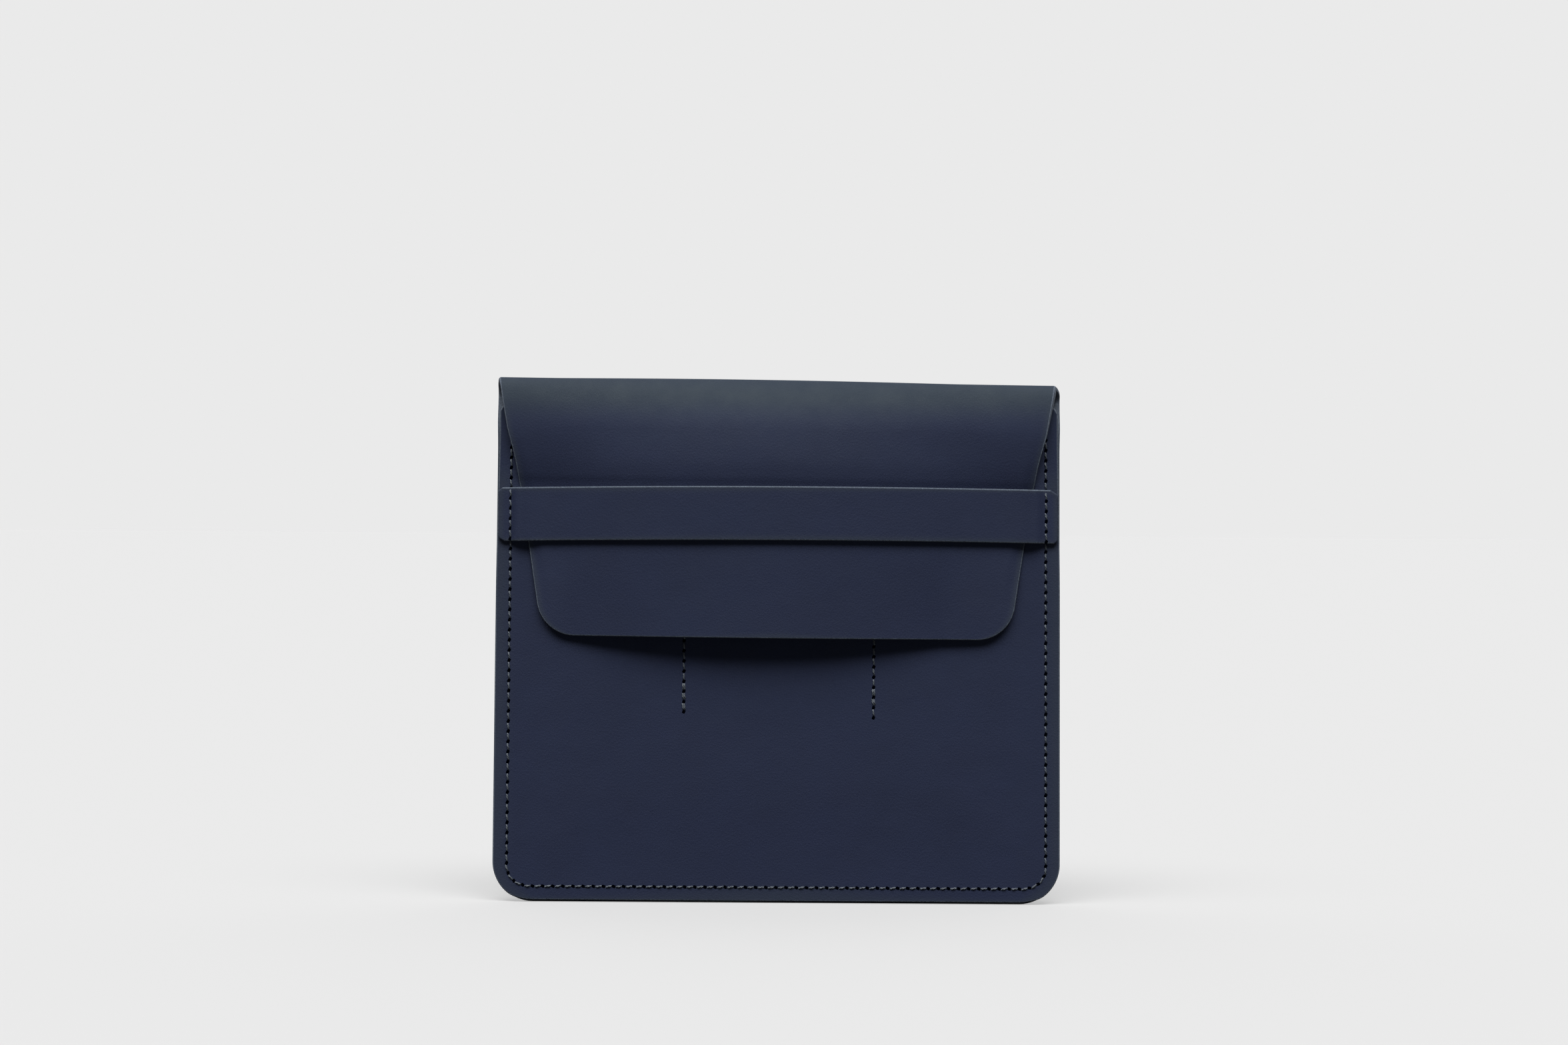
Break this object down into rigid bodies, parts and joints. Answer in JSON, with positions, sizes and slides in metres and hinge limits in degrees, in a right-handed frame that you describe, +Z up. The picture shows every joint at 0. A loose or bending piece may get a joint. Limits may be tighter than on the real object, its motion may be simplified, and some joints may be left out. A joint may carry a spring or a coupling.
{
  "type": "tablet sleeve",
  "caption": "Slim sewn leather sleeve for a tablet, with a tapering flap that folds over the open top and tucks behind a band across the front.",
  "frame": {"origin": "on the standing surface, midway along the lower edge, in the plane where front and back panels meet", "axes": "+X to the right seen from the front, -Y towards the front with the band, +Z up to the fold"},
  "size_m": [0.2238, 0.0171, 0.206],
  "materials": {
    "leather": "smooth, semi-matt",
    "pocket_leather": "matt",
    "thread": "waxed"
  },
  "bodies": {
    "sleeve": {"back_panel": "leather", "front_panel": "leather", "retaining_band": "leather", "inner_pocket": "pocket_leather", "seam_thread_left": "thread", "seam_thread_base": "thread", "seam_thread_right": "thread", "seam_thread_band_left": "thread", "seam_thread_band_right": "thread", "seam_thread_back": "thread", "pocket_thread_left": "thread", "pocket_thread_right": "thread"},
    "fold_rear": {"fold_rear": "leather"},
    "fold_front": {"fold_front": "leather"},
    "flap": {"flap": "leather"}
  },
  "joints": [
    {"name": "fold_rear_bend", "type": "hinge", "parent": "sleeve", "child": "fold_rear", "pos_m": [0, 0.00687, 0.20253], "axis": [-1, 0, 0], "range_deg": [0, 60], "deforming": ["retaining_band"]},
    {"name": "fold_top_bend", "type": "hinge", "parent": "fold_rear", "child": "fold_front", "pos_m": [0, 0.00085, 0.206], "axis": [-1, 0, 0], "range_deg": [0, 60], "deforming": ["retaining_band"]},
    {"name": "flap_bend", "type": "hinge", "parent": "fold_front", "child": "flap", "pos_m": [0, -0.00517, 0.20253], "axis": [-1, 0, 0], "range_deg": [0, 60], "deforming": ["retaining_band"]}
  ],
  "couplings": [
    {"joint": "fold_rear_bend", "follows": "flap_bend", "ratio": 1},
    {"joint": "fold_top_bend", "follows": "flap_bend", "ratio": 1}
  ]
}
